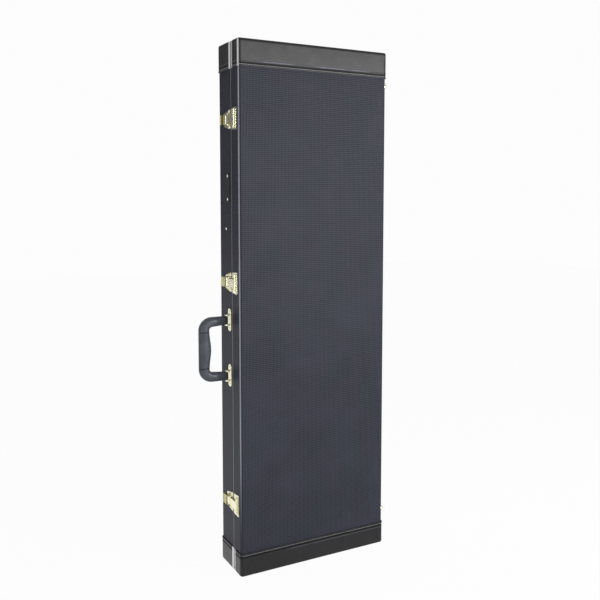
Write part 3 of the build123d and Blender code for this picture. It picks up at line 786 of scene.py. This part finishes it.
# %% Divide a block
PAD_STEP = 4.5 * MM
PAD_MOST_STEPS = 46


def divided_block(size):
    """A unit cube as a mesh, divided finely enough for a block of this size."""
    step = max(PAD_STEP, max(size) / PAD_MOST_STEPS)
    counts = [max(3, int(size[i] / step)) for i in range(3)]
    form = bmesh.new()
    for axis in range(3):
        u, v = (axis + 1) % 3, (axis + 2) % 3
        for side in (0, 1):
            grid = []
            for i in range(counts[u] + 1):
                row = []
                for j in range(counts[v] + 1):
                    point = [0.0, 0.0, 0.0]
                    point[axis] = side
                    point[u], point[v] = i / counts[u], j / counts[v]
                    row.append(form.verts.new(Vector(point)))
                grid.append(row)
            for i in range(counts[u]):
                for j in range(counts[v]):
                    form.faces.new((grid[i][j], grid[i + 1][j], grid[i + 1][j + 1], grid[i][j + 1]))
    bmesh.ops.remove_doubles(form, verts=form.verts, dist=1e-5)
    return form


print("a pad is divided every", PAD_STEP / MM, "mm, in at most", PAD_MOST_STEPS, "steps")

# %% Make a pad from a solid's box
PAD_ROUNDING = 9 * MM
PAD_CROWN = 1.2 * MM
MOST_ROUNDING = 0.42
PULLED_BAND = 4
SHIVERS_PER_METRE = 60
SHIVER_DEPTH = 0.6 * MM
SHIVER_LEFT_OUT = 0.2


def soft_block(name, low, high, rounding, crown, seed):
    """A rounded, slightly crowned block between two corners."""
    size = high - low
    centre = (low + high) / 2
    form = divided_block(size)
    radius = min(rounding, min(size) * MOST_ROUNDING)
    for vert in form.verts:
        unit = vert.co.copy()
        local = Vector([(unit[i] - 0.5) * size[i] for i in range(3)])
        core = Vector([max(-size[i] / 2 + radius, min(size[i] / 2 - radius, local[i])) for i in range(3)])
        away = local - core
        outward = away.normalized() if away.length > 1e-9 else Vector()
        local = core + outward * min(radius, away.length)
        from_edge = sorted(min(unit[i], 1 - unit[i]) * size[i] for i in range(3))[1]
        pull = crown * (1 - min(from_edge / (PULLED_BAND * radius), 1.0)) ** 2
        shiver = noise.noise(local * SHIVERS_PER_METRE + Vector((seed, 0, 0))) - SHIVER_LEFT_OUT
        vert.co = centre + local - outward * (pull + max(0.0, shiver * SHIVER_DEPTH))
    return from_bmesh(name, form)


def pad(name, node, body, seed, rounding=PAD_ROUNDING, crown=PAD_CROWN):
    """Replace a soft solid by one pad."""
    low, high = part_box(node)
    made = piece(name, soft_block(name, low, high, rounding, crown, seed), plush, body)
    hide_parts(node)


pad("tail_bolster", "tail_pad", "base", 2.0)
pad("neck_side_pad", "neck_side_block", "base", 3.0, rounding=11 * MM)
pad("headstock_cushion", "headstock_pad", "base", 4.0, rounding=7 * MM)
pad("lid_cushion", "lid_pad", "lid", 5.0, rounding=5.5 * MM, crown=0.8 * MM)
pad("pocket_flap_board", "pocket_lid", "pocket_flap", 6.0, rounding=1.5 * MM, crown=0.2 * MM)


# %% Pads in pairs
def paired_pads(name, node, body, seed):
    """Two pads, one on each side, made from the outer box of a group of two solids."""
    low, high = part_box(node)
    inner = min(abs(v.co.x) for v in nodes[node].data.vertices)
    for side, x0, x1 in (("latch_side", low.x, -inner), ("hinge_side", inner, high.x)):
        corner_low, corner_high = Vector((x0, low.y, low.z)), Vector((x1, high.y, high.z))
        label = name + "_" + side
        mesh = soft_block(label, corner_low, corner_high, PAD_ROUNDING, PAD_CROWN, seed + x0 * 10)
        piece(label, mesh, plush, body)
    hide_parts(node)


paired_pads("waist_cushion", "waist_pads", "base", 7.0)
paired_pads("shoulder_cushion", "shoulder_pads", "base", 8.0)

# %% [markdown]
# ## The linings
# A lining is a thin padded cloth glued into its tray. It rounds off at the bottom corners and rolls over at
# the rim. A cloth pushed into the tray by a simulation would end in the same form, so it is built directly as
# one open tray: a flat floor, four walls, and a soft corner between them.

# %% Make a tray of plush
CLOTH_THICKNESS = 2.4 * MM
CLOTH_CORNER = 7 * MM


def tray(name, node, body, open_sign):
    """A lining: the solid's inside surface as one soft sheet, open towards the seam."""
    low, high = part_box(node)
    size = high - low
    form = bmesh.new()
    bmesh.ops.create_cube(form, size=1.0)
    for vert in form.verts:
        vert.co = Vector([low[i] + (vert.co[i] + 0.5) * size[i] for i in range(3)])
    mouth_y = high.y if open_sign > 0 else low.y
    gone = [f for f in form.faces if all(abs(v.co.y - mouth_y) < 1e-6 for v in f.verts)]
    bmesh.ops.delete(form, geom=gone, context="FACES_ONLY")
    bends = [e for e in form.edges if not e.is_boundary]
    bmesh.ops.bevel(form, geom=bends, offset=CLOTH_CORNER, segments=5, profile=0.5, affect="EDGES")
    lining = piece(name, from_bmesh(name, form), plush, body)
    solidify = lining.modifiers.new("cloth_thickness", "SOLIDIFY")
    solidify.thickness = CLOTH_THICKNESS
    solidify.offset = -1.0
    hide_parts(node)


tray("base_plush_lining", "base_lining", "base", -1)
tray("lid_plush_lining", "lid_lining", "lid", 1)

# %% [markdown]
# ## Neck cradle, accessory box and pull tab
# These three keep their solids' shapes, because foam board cut to a template keeps its form under plush, and
# a tab is just a short ribbon. They could stay solids, but plush has no sharp edges. Their meshes are copied
# and softened with a bevel, so no solid shows bare.


# %% Soften a copy of a solid
def plush_copy(name, node, body, finish, bevel):
    """A copy of a solid with its edges rounded."""
    mesh = nodes[node].data.copy()
    mesh.materials.clear()
    form = bmesh.new()
    form.from_mesh(mesh)
    bmesh.ops.remove_doubles(form, verts=form.verts, dist=1e-5)
    bmesh.ops.dissolve_limit(form, angle_limit=math.radians(1), verts=form.verts, edges=form.edges)
    form.to_mesh(mesh)
    form.free()
    made = piece(name, mesh, finish, body)
    rounding = made.modifiers.new("soft_edges", "BEVEL")
    rounding.width = bevel
    rounding.segments = 3
    rounding.limit_method = "ANGLE"
    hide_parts(node)
    return made


cradle = plush_copy("neck_cradle_block", "neck_cradle", "base", plush, 3 * MM)
plush_copy("accessory_box_walls", "accessory_box", "base", plush, 1.6 * MM)
plush_copy("pocket_pull_tab", "pocket_tab", "pocket_flap", ribbon_weave, 0.5 * MM)

# %% [markdown]
# ## The floor
# The photograph has no horizon: the case stands on plain white. With no floor at all the case would float,
# and a lit floor would darken with distance. So the floor is a pale matt plane that takes light like any
# other, but the camera and mirrored rays see it almost wholly as an even white glow.

# %% Floor
FLOOR_SIZE = 6.0
FLOOR_DROP = 0.2 * MM
GLOW_SHARE = 0.96
floor_form = bmesh.new()
bmesh.ops.create_grid(floor_form, x_segments=1, y_segments=1, size=FLOOR_SIZE)
floor_mesh = bpy.data.meshes.new("studio_floor")
floor_form.to_mesh(floor_mesh)
floor_form.free()
floor = bpy.data.objects.new("studio_floor", floor_mesh)
bpy.context.scene.collection.objects.link(floor)
floor.location = (0, 0, -FLOOR_DROP)
RAYS = ("Is Camera Ray", "Is Glossy Ray", "Is Transmission Ray")
floor_finish = Finish("studio_floor", Roughness=0.9, Specular_IOR_Level=0.0)
floor_finish.put("Base Color", (0.86, 0.86, 0.86, 1.0))
to_camera, to_gloss, through = floor_finish.outputs("ShaderNodeLightPath", {}, *RAYS)
seen = to_camera.larger(to_gloss).larger(through) * GLOW_SHARE
matt = Value(floor_finish, floor_finish.shader.outputs[0])
glow = floor_finish.node("ShaderNodeEmission", {}, {})
both = floor_finish.node("ShaderNodeMixShader", {}, {0: seen, 1: matt, 2: glow})
floor_finish.connect(floor_finish.tree.nodes["Material Output"].inputs["Surface"], both)
floor_mesh.materials.append(floor_finish.material)
print("floor", [round(side, 2) for side in floor.dimensions], "metres")

# %% [markdown]
# ## The sky
# Black glossy things are lit by what they reflect. A photo of a room could light the case, but then its spots
# would show in every plate. This sky is made for the case instead. Straight ahead it is white, as a picture's
# background. Matt surfaces get a soft even light from it. Only mirrored rays see a room: bright behind the
# case, dim in front of it, and dark where the side and the far rounded edge mirror it to the camera.

# %% Sky
BACKGROUND, SOFT_SKY = 0.98, 0.34
BRIGHT_BACKDROP, DIM_ROOM, DARK_SIDE = 0.95, 0.38, 0.10
DARK_TOWARDS = Vector((-0.42, 0.90, 0.0))
DARK_RIGHT = Vector((0.88, 0.47, 0.0))
DARK_RIM, DARK_CORE = 0.84, 0.97
BACKDROP_FADE = 0.3

world = bpy.data.worlds.new("white_sky")
bpy.context.scene.world = world
world.use_nodes = True
sky = Wiring(world.node_tree)
background = world.node_tree.nodes["Background"]
to_camera, to_gloss, through = sky.outputs("ShaderNodeLightPath", {}, *RAYS)
looking = sky.node("ShaderNodeTexCoord", {}, {}, "Generated")


def near(direction):
    """How nearly the sky is seen in this direction: about 1 when straight at it."""
    return sky.node("ShaderNodeVectorMath", {"operation": "DOT_PRODUCT"}, {0: looking, 1: direction}, "Value")


towards_back, = sky.outputs("ShaderNodeSeparateXYZ", {0: looking}, "Y")
backdrop = towards_back.between(-BACKDROP_FADE, BACKDROP_FADE).blend(DIM_ROOM, BRIGHT_BACKDROP)
dark = near(DARK_TOWARDS).larger(near(DARK_RIGHT)).between(DARK_RIM, DARK_CORE)
room = dark.blend(backdrop, DARK_SIDE)
lighting = to_gloss.blend(SOFT_SKY, room)
sky.connect(background.inputs["Color"], (1, 1, 1, 1))
sky.connect(background.inputs["Strength"], to_camera.larger(through).blend(lighting, BACKGROUND))
print("sky nodes:", len(world.node_tree.nodes))

# %% [markdown]
# ## Lamps
# Three soft lamps shape the case. A large one in front to the right gives the lid its slow gradient, one far
# to the left lights the side and adds a little to the painted highlight down the rounded edge, and one above
# lifts the top. Sharp lamps would burn white spots into the plating, so all three are wide areas.


# %% Lamps
def soft_light(name, place, target, size, watts):
    """A rectangular lamp turned to face a point."""
    lamp = bpy.data.lights.new(name, "AREA")
    lamp.shape = "RECTANGLE"
    lamp.size, lamp.size_y = size
    lamp.energy = watts
    holder = bpy.data.objects.new(name, lamp)
    bpy.context.scene.collection.objects.link(holder)
    holder.location = place
    holder.rotation_mode = "QUATERNION"
    holder.rotation_quaternion = (Vector(target) - Vector(place)).to_track_quat("-Z", "Y")
    print(name, "of", watts, "W from", place)


soft_light("front_light", (0.95, -1.9, 0.88), (0, 0, 0.68), (1.3, 1.0), 34)
soft_light("edge_light", (-2.2, -1.2, 0.7), (-0.17, 0, 0.4), (1.4, 1.4), 10)
soft_light("top_light", (0.3, -0.5, 2.7), (0, 0, 0.8), (1.6, 1.6), 8)

# %% [markdown]
# ## Finish
# The dressed case must keep the size of its solids, apart from sewn trim. The hems stand 0.8 mm proud of the
# caps at the front and the back, and nothing else reaches further. The last step sets the view transform to
# Standard.

# %% Finish
bpy.context.scene.view_settings.view_transform = "Standard"
